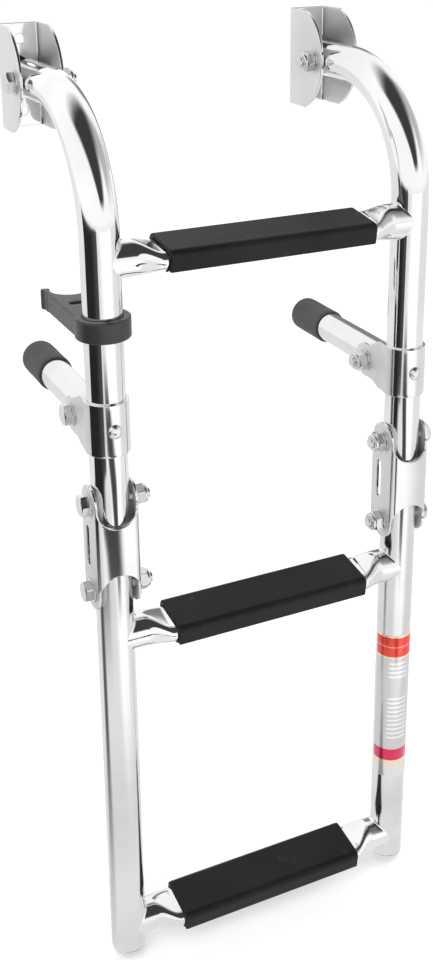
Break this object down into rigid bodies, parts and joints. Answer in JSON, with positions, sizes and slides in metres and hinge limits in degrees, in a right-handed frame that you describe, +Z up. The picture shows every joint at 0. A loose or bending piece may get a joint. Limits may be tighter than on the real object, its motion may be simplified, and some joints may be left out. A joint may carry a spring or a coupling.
{
  "type": "boat boarding ladder",
  "caption": "Folding hull-mounted boarding ladder: swan-neck tube rails on pivot brackets, flattened rungs with grip covers, fold-up lower section, stand-off arms and a rail clip.",
  "frame": {"origin": "centre of the four hull screw holes, on the hull face of the brackets", "axes": "+X right seen from the water side, +Y into the hull, +Z up along the rails"},
  "size_m": [0.263, 0.1647, 0.6525],
  "materials": {
    "stainless": "polished",
    "fastener_steel": "satin",
    "black_tread": "fine grained",
    "grey_rubber": "matt",
    "black_clip": "satin",
    "decal": "plain printed film"
  },
  "bodies": {
    "brackets": {"bracket_left": "stainless", "bracket_right": "stainless", "bracket_bolts": "fastener_steel", "bracket_nuts": "fastener_steel"},
    "upper_section": {"rail_upper_left": "stainless", "rail_upper_right": "stainless", "leg_plugs": "black_tread", "rung_top": "stainless", "tread_top": "black_tread", "collar_left": "stainless", "collar_right": "stainless", "collar_screws": "fastener_steel", "collar_bolts": "fastener_steel", "collar_nuts": "fastener_steel"},
    "standoff_left": {"arm_left": "stainless", "arm_cap_left": "grey_rubber"},
    "standoff_right": {"arm_right": "stainless", "arm_cap_right": "grey_rubber"},
    "hinge_links": {"hinge_link_left": "stainless", "hinge_link_right": "stainless", "hinge_bolts": "fastener_steel", "hinge_nuts": "fastener_steel"},
    "lower_section": {"rail_lower_left": "stainless", "rail_lower_right": "stainless", "foot_plugs": "stainless", "rung_middle": "stainless", "tread_middle": "black_tread", "rung_bottom": "stainless", "tread_bottom": "black_tread", "decal": "decal"},
    "clip": {"retaining_clip": "black_clip"}
  },
  "joints": [
    {"name": "ladder_swing", "type": "hinge", "parent": "brackets", "child": "upper_section", "pos_m": [0, -0.036, 0], "axis": [-1, 0, 0], "range_deg": [0, 100]},
    {"name": "link_fold", "type": "hinge", "parent": "upper_section", "child": "hinge_links", "pos_m": [0, -0.144, -0.253], "axis": [-1, 0, 0], "range_deg": [0, 90]},
    {"name": "lower_fold", "type": "hinge", "parent": "hinge_links", "child": "lower_section", "pos_m": [0, -0.144, -0.315], "axis": [-1, 0, 0], "range_deg": [0, 90]},
    {"name": "standoff_left_fold", "type": "hinge", "parent": "upper_section", "child": "standoff_left", "pos_m": [-0.11, -0.114, -0.202], "axis": [-1, 0, 0], "range_deg": [-20, 90]},
    {"name": "standoff_right_fold", "type": "hinge", "parent": "upper_section", "child": "standoff_right", "pos_m": [0.11, -0.114, -0.202], "axis": [-1, 0, 0], "range_deg": [-20, 90]},
    {"name": "clip_swivel", "type": "hinge", "parent": "upper_section", "child": "clip", "pos_m": [-0.11, -0.144, -0.135], "axis": [0, 0, 1], "range_deg": [-180, 180]}
  ]
}
